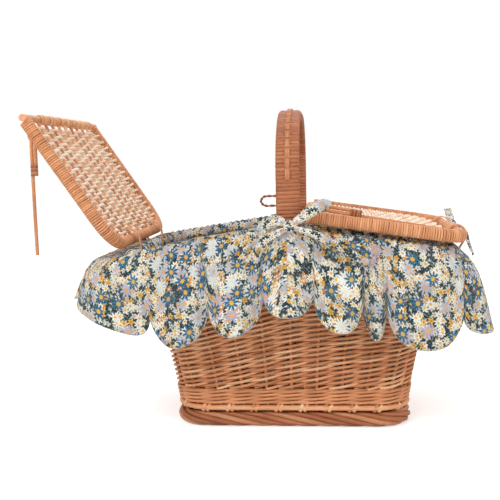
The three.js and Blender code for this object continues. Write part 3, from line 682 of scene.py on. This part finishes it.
def rail_line(half, corner, end):
    """Down one side of the lid, across at the hinge and up the other side."""
    points = [(end - (end - corner) * k / 12, -half) for k in range(12)]
    for k in range(13):
        turn = math.pi / 2 * k / 12
        points.append((corner - corner * math.sin(turn), -(half - corner + corner * math.cos(turn))))
    points.extend((0.0, (half - corner) * (k / 12 - 1)) for k in range(1, 12))
    return points + [(0.0, 0.0)] + [(along, -y) for along, y in reversed(points)]


def weave_extent(along):
    """How far the lid's panel reaches across at a distance from its hinge."""
    inner = LID_CORNER - 0.007
    left = max(0.0, inner - (along - 0.007))
    return PANEL_HALF_WIDTH - inner + math.sqrt(max(inner * inner - left * left, 0.0))


def crown(along, y):
    """How far the lid's panel is domed above its middle plane."""
    rise = min(1.0, max(0.0, along - 0.006) / 0.03) * min(1.0, max(0.0, LID_LENGTH - along) / 0.02)
    return 0.0042 * rise * max(0.0, 1 - (y / 0.146) ** 6)


def make_lid(side, word):
    body = word + "_lid"
    bend = lambda points: [lid_point(side, along, y, up) for along, y, up in points]
    rail = rail_line(LID_HALF_WIDTH, LID_CORNER, 0.184)
    rail_path = bend((a, y, 0.0024) for a, y in rail)
    wraps = wind(BINDINGS, word + "_rail_wraps", [rail_path], "willow", pitch=0.00285,
                 section_width=0.0128, section_height=0.0146, corner=0.0055, strip=0.0029, thickness=0.0013,
                 jitter=0.03, tone_low=0.0, tone_high=0.5, up=lid_up(side), seed=30 + side)
    cores = [bend((a, y, up) for a, y in rail) for up in (0.0001, 0.0047)]
    core = round_rods(word + "_rail_rods", cores, "willow_dark", 0.0048, seed=31)
    place_piece(word + "_rail_wraps", [wraps, core], body, "willow", word + "_lid_rail")

    bar = bend((LID_LENGTH, -BAR_HALF + 2 * BAR_HALF * k / 24, 0) for k in range(25))
    end_bar = round_rods(word + "_end_bar", [bar], "willow", 0.0045, sides=16, seed=33)
    stakes = []
    for k in range(9):
        y = (k - 4) * 0.027
        stakes.append(bend((0.006 + 0.183 * i / 12, y, crown(0.006 + 0.183 * i / 12, y)) for i in range(13)))
    laid = round_rods(word + "_stakes", stakes, "willow", 0.0022, seed=34)
    place_piece(word + "_frame_rods", [end_bar, laid], body, "willow", word + "_lid_frame")

    weavers = []
    rows = 30
    for row in range(rows):
        along = 0.0105 + (0.1755 - 0.0105) * row / (rows - 1)
        reach = weave_extent(along) - 0.0006
        steps = 80
        weavers.append(bend(
            (along + 0.0004 * math.sin(2.1 * row + 90 * y), y,
             crown(along, y) + 0.0023 * math.cos(math.pi * (y / 0.027 + row)))
            for y in (reach * (2 * i / steps - 1) for i in range(steps + 1))))
    # Painted highlight: the lids' weave takes the pale copy of the willow and only its paler tones.
    weave = wind(RODS, word + "_weave", weavers, "willow_pale", half_width=0.0022, half_height=0.0021,
                 tone_low=0.45, seed=35 + side)
    place_piece(word + "_lid_weave", [weave], body, "willow_pale", word + "_lid_panel")

    bundles = []
    for k in range(7):
        start = -0.104 + 0.0337 * k
        bundles.append(bend((LID_LENGTH, start + 0.003 + 0.0278 * i / 8, 0) for i in range(9)))
    coils = wind(BINDINGS, word + "_coils", bundles, "willow", pitch=0.0025, section_width=0.0104,
                 section_height=0.0104, corner=0.0051, strip=0.0025, thickness=0.0013, bulge=0.14, slant=0.05,
                 jitter=0.05, up=lid_up(side), seed=36)
    place_piece(word + "_bar_coils", [coils], body, "willow", word + "_lid_coils")

    along = LID_LENGTH - 0.016
    arch = [(-0.009, 0.0056), (-0.0078, 0.0095), (-0.005, 0.0136), (0.0, 0.0144), (0.005, 0.0136),
            (0.0078, 0.0095), (0.009, 0.0056)]
    staple = [bend((along + shift, -0.117 + y, up) for y, up in arch) for shift in (-0.0006, 0.0006)]
    cane = round_rods(word + "_staple", staple, "willow", 0.0008, seed=37)
    place_piece(word + "_cane_staple", [cane], body, "willow", word + "_peg_staple")


def make_peg(word, pin, direction):
    """A thin rod folded back on itself at an eye and bound below the fold."""
    run = Vector((math.cos(direction), 0, math.sin(direction)))
    across = Vector((-math.sin(direction), 0, math.cos(direction)))
    put = lambda u, v: pin + run * u + across * v
    eye = []
    for k in range(17):
        turn = math.radians(30 + 300 * k / 16)
        eye.append(put(0.0046 * math.cos(turn), 0.0046 * math.sin(turn)))
    path = [put(0.048, 0.0025), put(0.03, 0.0026), put(0.012, 0.0026)] + eye
    straight = ((0.012, -0.0024), (0.03, -0.0023), (0.06, -0.0022), (0.1, -0.0019), (0.1505, -0.0012))
    path += [put(u, v) for u, v in straight]
    rod = round_rods(word + "_peg_rod", [path], "willow", 0.0022, sides=10, tone_high=0.1, seed=40)
    place_piece(word + "_peg_rod", [rod], word + "_peg", "willow", word + "_peg")
    ties = [put(0.037, 0.0001), put(0.049, 0.0001)]
    band = wind(BINDINGS, word + "_peg_wraps", [ties], "willow_dark", pitch=0.0019, section_width=0.0088,
                section_height=0.0056, corner=0.0026, strip=0.0019, thickness=0.0009,
                up=(0.0, 1.0, 0.0), seed=41)
    place_piece(word + "_peg_wraps", [band], word + "_peg", "willow_dark", word + "_peg_binding")


def hinge_outline(side, grow):
    """A turn of cane round the lid's end rail and the rim's border."""
    top = Vector((HINGE_X, HINGE_Z))
    low = Vector((RIM_HALF[0], RIM_HEIGHT + gable(RIM_HALF[0])))
    down = low - top
    high_radius, low_radius = 0.0121 + grow, 0.0075 + grow
    lean = math.acos((high_radius - low_radius) / down.length)
    heading = math.atan2(down.y, down.x)
    points = []
    for k in range(15):
        turn = heading + lean + (TURN - 2 * lean) * k / 14
        points.append((top.x + high_radius * math.cos(turn), top.y + high_radius * math.sin(turn)))
    for k in range(7):
        turn = heading - lean + 2 * lean * k / 6
        points.append((low.x + low_radius * math.cos(turn), low.y + low_radius * math.sin(turn)))
    return [(side * x, z) for x, z in points]


def make_hinges():
    for word, side in (("left", -1), ("right", 1)):
        for place, y in (("front", -0.072), ("back", 0.072)):
            turns = []
            for k in range(4):
                outline = hinge_outline(side, 0.0009)
                turns.append([Vector((x, y + 0.00195 * (k - 1.5), z)) for x, z in outline])
            name = f"{word}_hinge_cane_{place}"
            cane = round_rods(name, turns, "willow", 0.0009, closed=True, seed=44)
            place_piece(name, [cane], "basket", "willow", f"{word}_hinge_loop_{place}")


def smooth_loop(points, steps):
    """A closed smooth curve through points."""
    count = len(points)
    curve = []
    for k in range(count):
        a, b, c, d = (Vector(points[(k + n) % count]) for n in (-1, 0, 1, 2))
        for i in range(steps):
            t = i / steps
            curve.append(0.5 * (2 * b + (c - a) * t + (2 * a - 5 * b + 4 * c - d) * t * t
                                + (3 * b - a - 3 * c + d) * t * t * t))
    return curve


def make_loops():
    under = [(-9, 255.5), (-6.4, 249.1), (0, 246.5), (6.4, 249.1), (9, 255.5)]
    leaning = [(6, 272), (-5, 284), (-22, 283.5), (-36, 284), (-41, 290), (-36, 296), (-22, 296.5), (-8, 295),
               (-10, 272)]
    upright = [(6, 270), (7.5, 285), (5, 296), (0, 300), (-5, 296), (-7.5, 285), (-6, 270)]
    for word, y, outline in (("left", -0.016, leaning), ("right", 0.016, upright)):
        line = smooth_loop([(x / 1000, y, z / 1000) for x, z in under + outline], 9)
        count = len(line)
        strands = []
        for strand in (0, 1):
            path = []
            for k, point in enumerate(line):
                ahead = (line[(k + 1) % count] - line[k - 1]).normalized()
                beside = ahead.cross(Vector((0, 1, 0)))
                turn = TURN * (k * 13 / count + strand / 2)
                path.append(point + 0.00095 * (math.cos(turn) * Vector((0, 1, 0)) + math.sin(turn) * beside))
            strands.append(path)
        cane = round_rods(word + "_loop_cane", strands, "willow_dark", 0.00095, closed=True, seed=46)
        piece = place_piece(word + "_loop_cane", [cane], "basket", "willow_dark", "closure_loop_" + word)
        if word == "left":
            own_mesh(piece)


# Cotton
def cloth_mesh(name, columns, hem_from_end=True, closed=False):
    """A sheet from columns of points, with a flat map in metres and the distance to its hem."""
    rows = len(columns[0])
    mesh = bpy.data.meshes.new(name)
    points = [tuple(p) for column in columns for p in column]
    faces = []
    count = len(columns)
    for i in range(count if closed else count - 1):
        for j in range(rows - 1):
            a, b = i * rows + j, ((i + 1) % count) * rows + j
            faces.append((a, b, b + 1, a + 1))
    mesh.from_pydata(points, [], faces)
    down = []
    for column in columns:
        lengths = [0.0]
        for p, q in zip(column, column[1:]):
            lengths.append(lengths[-1] + (q - p).length)
        down.append(lengths)
    middle = (2 * rows) // 3
    reach = max(1, count // 40)
    line = []
    level = []
    for k in range(count):
        near = [i % count if closed else min(max(i, 0), count - 1) for i in range(k - reach, k + reach + 1)]
        line.append(sum((columns[i][middle] for i in near), Vector()) / len(near))
        level.append([sum(down[i][j] for i in near) / len(near) for j in range(rows)])
    along = [0.0]
    for k in range(1, count + 1):
        along.append(along[-1] + (line[k % count] - line[k - 1]).length)
    flat = mesh.uv_layers.new(name="cloth")
    for polygon in mesh.polygons:
        first = polygon.index // (rows - 1)
        for loop, corner in zip(polygon.loop_indices, polygon.vertices):
            column, row = divmod(corner, rows)
            step = column if column == first else first + 1
            flat.data[loop].uv = (along[step], level[column][row])
    hem = mesh.attributes.new("hem", "FLOAT", "POINT")
    hem.data.foreach_set("value", [
        (lengths[-1] - length) if hem_from_end else 1.0 for lengths in down for length in lengths])
    merged = bmesh.new()
    merged.from_mesh(mesh)
    bmesh.ops.remove_doubles(merged, verts=merged.verts, dist=0.000002)
    merged.to_mesh(mesh)
    merged.free()
    mesh.materials.append(cotton)
    mesh.shade_smooth()
    return mesh


def cloth_piece(name, meshes, *nodes, thickness=0.0009):
    piece = place_piece(name, meshes, "basket", "cotton", *nodes)
    thick = piece.modifiers.new("thickness", "SOLIDIFY")
    thick.thickness = thickness
    thick.offset = 0.0
    return piece


GATHER_SPACING = 0.0092
LEG_COVER = 0.040


def skirt_fall(out):
    """How far the skirt stands off the rim, and how far it hangs: it flares most at the left end."""
    left = max(0.0, -out.x) ** 5
    right = max(0.0, out.x) ** 3
    drop = 0.112 - 0.052 * max(0.0, -out.x) ** 1.5 - 0.018 * right
    near = 0.014 + 0.030 * left + 0.008 * right
    far = 0.018 + 0.050 * left + 0.018 * right
    return near, far, drop


def skirt_column(way, share, petals, seed):
    """One column of the skirt: over the rim from the inside, then down to the scalloped hem."""
    point, out = around(RIM_HALF, RIM_CORNER, share)
    near, far, drop = skirt_fall(out)
    for start, end, scale, fold in petals:
        if way <= end:
            break
    across = 2 * (way - start) / (end - start) - 1
    if start == 0.0:
        across = way / end
    rounding = 1 - math.sqrt(max(0.0, 1 - abs(across) ** 2.4))
    hem = drop * scale * (1 - 0.36 * rounding)
    valley = math.cos(math.pi * across) * fold
    seam = min(1.0, way / 0.03)
    wobble = seam * noise.noise(Vector((way * 34, seed, 0)))
    ripple = seam * noise.noise(Vector((way * 95, seed + 5, 0)))
    gather = math.cos(way * TURN / GATHER_SPACING + 2.2 * ripple)
    radius = RIM_RADIUS + 0.0009
    over_leg = max(0.0, 1 - ((point.x - LEG_X) / LEG_COVER) ** 2) ** 1.5
    base = point + Vector((0, 0, RIM_HEIGHT + gable(point.x)))
    column = []
    for k in range(10):
        turn = math.radians(228 - 208 * k / 9)
        tucked = radius + 0.0009 + 0.0009 * gather
        column.append(base + out * (tucked * math.cos(turn)) + Vector((0, 0, tucked * math.sin(turn))))
    rows = 34
    bulge = 1 + 0.55 * max(0.0, -out.x) ** 2
    for k in range(1, rows + 1):
        h = k / rows
        off = radius + near * (1 - math.exp(-5.5 * h)) + (far - near) * h
        off += 0.0070 * valley * h ** 1.2 + 0.0085 * wobble * h + 0.0016 * gather * (1 - h) ** 2
        off += 0.0060 * ripple * h * (1.2 - h)
        off = max(off, radius + 0.002 + 0.0145 * over_leg * (1 - h) ** 0.5)
        rise = 0.003 + 0.014 * over_leg * (1 - h) ** 1.5
        column.append(base + out * off + Vector((0, 0, rise - (hem + 0.003) * h ** bulge)))
    return column


def skirt_panel(name, middle, direction, petals, seed):
    """A quarter of the skirt, from the handle's leg round to the middle of the basket's end."""
    length = outline_length(RIM_HALF, RIM_CORNER)
    quarter = length / 4
    steps = 250
    columns = []
    for k in range(steps + 1):
        way = quarter * k / steps
        columns.append(skirt_column(way, middle + direction * way / length, petals, seed))
    if direction > 0:
        columns.reverse()
    mesh = cloth_mesh(name, columns)
    piece = cloth_piece(name, [mesh], name.replace("frill", "skirt"))
    return piece


def make_skirt():
    """Each petal: where it starts and ends along its quarter, its length and the depth of its fold."""
    left = [(0.0, 0.030, 0.86, 0.5), (0.030, 0.097, 0.99, 1.2), (0.097, 0.167, 1.02, 1.3),
            (0.167, 0.235, 1.05, 1.5), (0.235, 0.285, 1.0, 1.4), (0.285, 0.330, 0.98, 1.2)]
    right = [(0.0, 0.031, 0.86, 0.4), (0.031, 0.090, 0.96, 1.0), (0.090, 0.118, 0.98, 1.9),
             (0.118, 0.196, 1.02, 1.0), (0.196, 0.262, 1.04, 1.3), (0.262, 0.330, 0.98, 1.0)]
    back = [(0.0, 0.034, 0.88, 0.4), (0.034, 0.106, 1.0, 1.0), (0.106, 0.170, 1.03, 1.2),
            (0.170, 0.250, 1.0, 1.0), (0.250, 0.330, 1.02, 1.1)]
    skirt_panel("frill_front_left", 0.75, -1, left, 1.3)
    skirt_panel("frill_front_right", 0.75, 1, right, 7.9)
    skirt_panel("frill_back_left", 0.25, 1, back, 14.1)
    skirt_panel("frill_back_right", 0.25, -1, back, 21.7)


def make_liner():
    """The cotton bag inside, drawn in a little by the gathers at the rim."""
    inset = 0.0122
    levels = [(0.0128, 0.012), (0.020, 0.0065), (0.033, 0.005), (0.05, 0.0005), (0.09, 0.0005),
              (0.134, 0.0005), (0.18, 0.0005), (0.212, 0.0005), (0.2175, 0.0008)]
    columns = []
    steps = 200
    for k in range(steps):
        share = k / steps
        column = []
        for fold in (0.0, 0.35, 0.7, 0.94):
            half = [h - inset - 0.012 for h in wall_half(0.0128)]
            column.append(around(half, WALL_CORNER, share)[0] * fold + Vector((0, 0, 0.0131)))
        for level, tuck in levels:
            half = [h - inset - tuck for h in wall_half(level)]
            point, out = around(half, WALL_CORNER, share)
            lift = max(0.0, (level - WALE_TOP) / (SIDING_TOP - WALE_TOP)) * gable(point.x)
            wrinkle = 0.0022 * abs(noise.noise(Vector((share * 60, level * 18, 3.0))))
            column.append(point - out * wrinkle + Vector((0, 0, level + lift)))
        half = [h - RIM_RADIUS - 0.0012 for h in RIM_HALF]
        point, out = around(half, RIM_CORNER - RIM_RADIUS, share)
        gather = 0.0006 * math.sin(share * TURN * 110)
        column.append(point - out * (0.0008 + gather) + Vector((0, 0, RIM_HEIGHT - 0.0055 + gable(point.x))))
        columns.append(column)
    mesh = cloth_mesh("liner_cloth", columns, hem_from_end=False, closed=True)
    piece = cloth_piece("liner_cloth", [mesh], "liner_bag")


def ribbon(name, points, width, face, curl):
    """A soft strip along a path. face is the way its width lies, and curl how much it cups."""
    knots = [Vector(p) for p in points]
    line = []
    spans = len(knots) - 1
    for k in range(spans):
        a, b, c, d = knots[max(k - 1, 0)], knots[k], knots[k + 1], knots[min(k + 2, spans)]
        for i in range(8):
            t = i / 8
            line.append(0.5 * (2 * b + (c - a) * t + (2 * a - 5 * b + 4 * c - d) * t * t
                               + (3 * b - a - 3 * c + d) * t * t * t))
    line.append(knots[-1])
    count = len(line)
    columns = []
    for k, point in enumerate(line):
        ahead = (line[min(k + 1, count - 1)] - line[max(k - 1, 0)]).normalized()
        wide = Vector(face) - ahead * ahead.dot(Vector(face))
        wide.normalize()
        thin = ahead.cross(wide)
        pinch = 0.45 + 0.55 * min(1.0, 3.0 * k / count)
        column = []
        for j in range(7):
            v = j / 3 - 1
            cup = curl * (1 - v * v) * pinch + 0.0009 * math.sin(v * 5 + k * 0.5)
            column.append(point + wide * (v * width / 2 * pinch) + thin * cup)
        columns.append(column)
    return cloth_mesh(name, columns, hem_from_end=False)


def knot_mesh(name, centre, size):
    """A pulled knot: a squashed ball of cloth with turns wound round it."""
    columns = []
    for i in range(25):
        turn = TURN * i / 24
        column = []
        for j in range(13):
            rise = math.pi * (j / 12 - 0.5)
            swell = 1 + 0.12 * math.cos(3 * turn + 2 * rise) * math.cos(rise)
            column.append(Vector(centre) + Vector((
                size[0] * math.cos(rise) * math.cos(turn) * swell,
                size[1] * math.cos(rise) * math.sin(turn) * swell,
                size[2] * math.sin(rise))))
        columns.append(column)
    return cloth_mesh(name, columns, hem_from_end=False)


def make_bow(word, side):
    y = side * 0.168
    flip = (lambda x: x) if side < 0 else (lambda x: 0.008 - x)
    low = 0.0 if side < 0 else 0.008
    at = lambda x, dy, z: (flip(x), y + side * dy, z - low)
    lift = 1.0 if side < 0 else -0.3
    upright = (0.25, 0, 1)
    meshes = [
        ribbon("loop_up", [at(0.004, 0, 0.268), at(0.02, 0.001, 0.268 + 0.010 * lift),
                           at(0.036, 0.002, 0.268 + 0.021 * lift), at(0.046, 0.0, 0.268 + 0.024 * lift),
                           at(0.049, -0.002, 0.268 + 0.021 * lift)], 0.014, upright, 0.003),
        ribbon("loop_side", [at(0.004, 0, 0.268), at(-0.009, 0.003, 0.274), at(-0.022, 0.005, 0.272),
                             at(-0.030, 0.004, 0.263)], 0.012, upright, 0.003),
        ribbon("tail_left", [at(0.004, 0.001, 0.266), at(-0.018, 0.004, 0.256), at(-0.04, 0.007, 0.244),
                             at(-0.061, 0.009, 0.230)], 0.0098, upright, 0.002),
        ribbon("tail_right", [at(0.004, 0.001, 0.266), at(0.03, 0.005, 0.259), at(0.062, 0.008, 0.243),
                              at(0.095, 0.009, 0.223)], 0.0092, upright, 0.002),
        knot_mesh("knot", at(0.004, 0, 0.267), (0.0082, 0.0062, 0.0072)),
    ]
    piece = cloth_piece("bow_" + word, meshes, "tie_" + word, thickness=0.0007)


def make_end_tie(word, side, knot, tails):
    place = lambda p: (side * p[0] / 1000, p[1] / 1000, p[2] / 1000)
    meshes = []
    for k, tail in enumerate(tails):
        face = (1, 0.3, 0.1) if tail[-1][2] > knot[2] else (0.2, 1, 0.2)
        meshes.append(ribbon(f"tail_{k}", [place(p) for p in [knot, *tail]], 0.0112, face, 0.002))
    meshes.append(knot_mesh("knot", place(knot), (0.0052, 0.0075, 0.0062)))
    piece = cloth_piece("knot_tie_" + word, meshes, "tie_" + word, thickness=0.0007)
    return piece


def make_ties():
    make_bow("front", -1)
    make_bow("back", 1)
    make_end_tie("left", -1, (231, 96, 232), [
        [(238, 106, 228), (243, 112, 222), (254, 122, 207)],
        [(236, 82, 230), (240, 70, 226), (251, 54, 211)]])
    right = make_end_tie("right", 1, (231, 104, 246), [
        [(229, 109, 253), (228, 113, 259), (226, 119, 268)],
        [(236, 70, 243), (239, 30, 235), (243, 6, 213)]])
    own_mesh(right)


make_base()
make_foot()
make_body()
make_rim()
make_handle()
make_lid(-1, "left")
make_lid(1, "right")
make_peg("left", Vector((-0.31894, -0.117, 0.38142)), math.radians(-90))
make_peg("right", Vector((0.04100, -0.117, 0.28586)), math.radians(-10.75))
make_hinges()
make_loops()
make_liner()
make_skirt()
make_ties()


# Floor and light
FLOOR_GLOW = 0.50
WORLD_LIGHT = 0.62


def paint_floor():
    """A pale matt floor, lifted towards white where the camera sees it."""
    finish, board, shader = new_finish("floor")
    seen = board.node("ShaderNodeLightPath").outputs["Is Camera Ray"]
    board.feed(shader.inputs["Emission Strength"], board.math("MULTIPLY", seen, FLOOR_GLOW))
    shader.inputs["Emission Color"].default_value = (1, 1, 1, 1)
    shader.inputs["Base Color"].default_value = (0.90, 0.90, 0.90, 1)
    shader.inputs["Roughness"].default_value = 1.0
    shader.inputs["Specular IOR Level"].default_value = 0.0
    return finish


def make_stage():
    mesh = bpy.data.meshes.new("floor")
    reach, depth = 12.0, -0.0002
    corners = [(x * reach, y * reach, depth) for x, y in ((-1, -1), (1, -1), (1, 1), (-1, 1))]
    mesh.from_pydata(corners, [], [(0, 1, 2, 3)])
    mesh.materials.append(paint_floor())
    floor = bpy.data.objects.new("floor", mesh)
    bpy.context.scene.collection.objects.link(floor)


def light_scene():
    world = bpy.data.worlds.new("studio")
    bpy.context.scene.world = world
    world.use_nodes = True
    board = Board(world.node_tree)
    ray = board.node("ShaderNodeLightPath").outputs
    seen = board.math("MAXIMUM", ray["Is Camera Ray"], board.math(
        "MAXIMUM", ray["Is Glossy Ray"], ray["Is Transmission Ray"]))
    background = world.node_tree.nodes["Background"]
    background.inputs["Color"].default_value = (1, 1, 1, 1)
    board.feed(background.inputs["Strength"], board.between(seen, 0.0, 1.0, WORLD_LIGHT, 1.0))
    for name, place, size, power in (
            ("key", (-0.9, -1.6, 1.7), 1.2, 24.0), ("fill", (1.5, -1.2, 1.0), 1.4, 10.0),
            ("back", (0.2, 1.8, 1.5), 1.4, 10.0)):
        lamp = bpy.data.lights.new(name, "AREA")
        lamp.size = size
        lamp.energy = power
        stand = bpy.data.objects.new(name, lamp)
        stand.location = place
        toward = Vector((0, 0, 0.2)) - Vector(place)
        stand.rotation_euler = toward.to_track_quat("-Z", "Y").to_euler()
        bpy.context.scene.collection.objects.link(stand)


make_stage()
light_scene()
bpy.context.scene.view_settings.view_transform = "Standard"
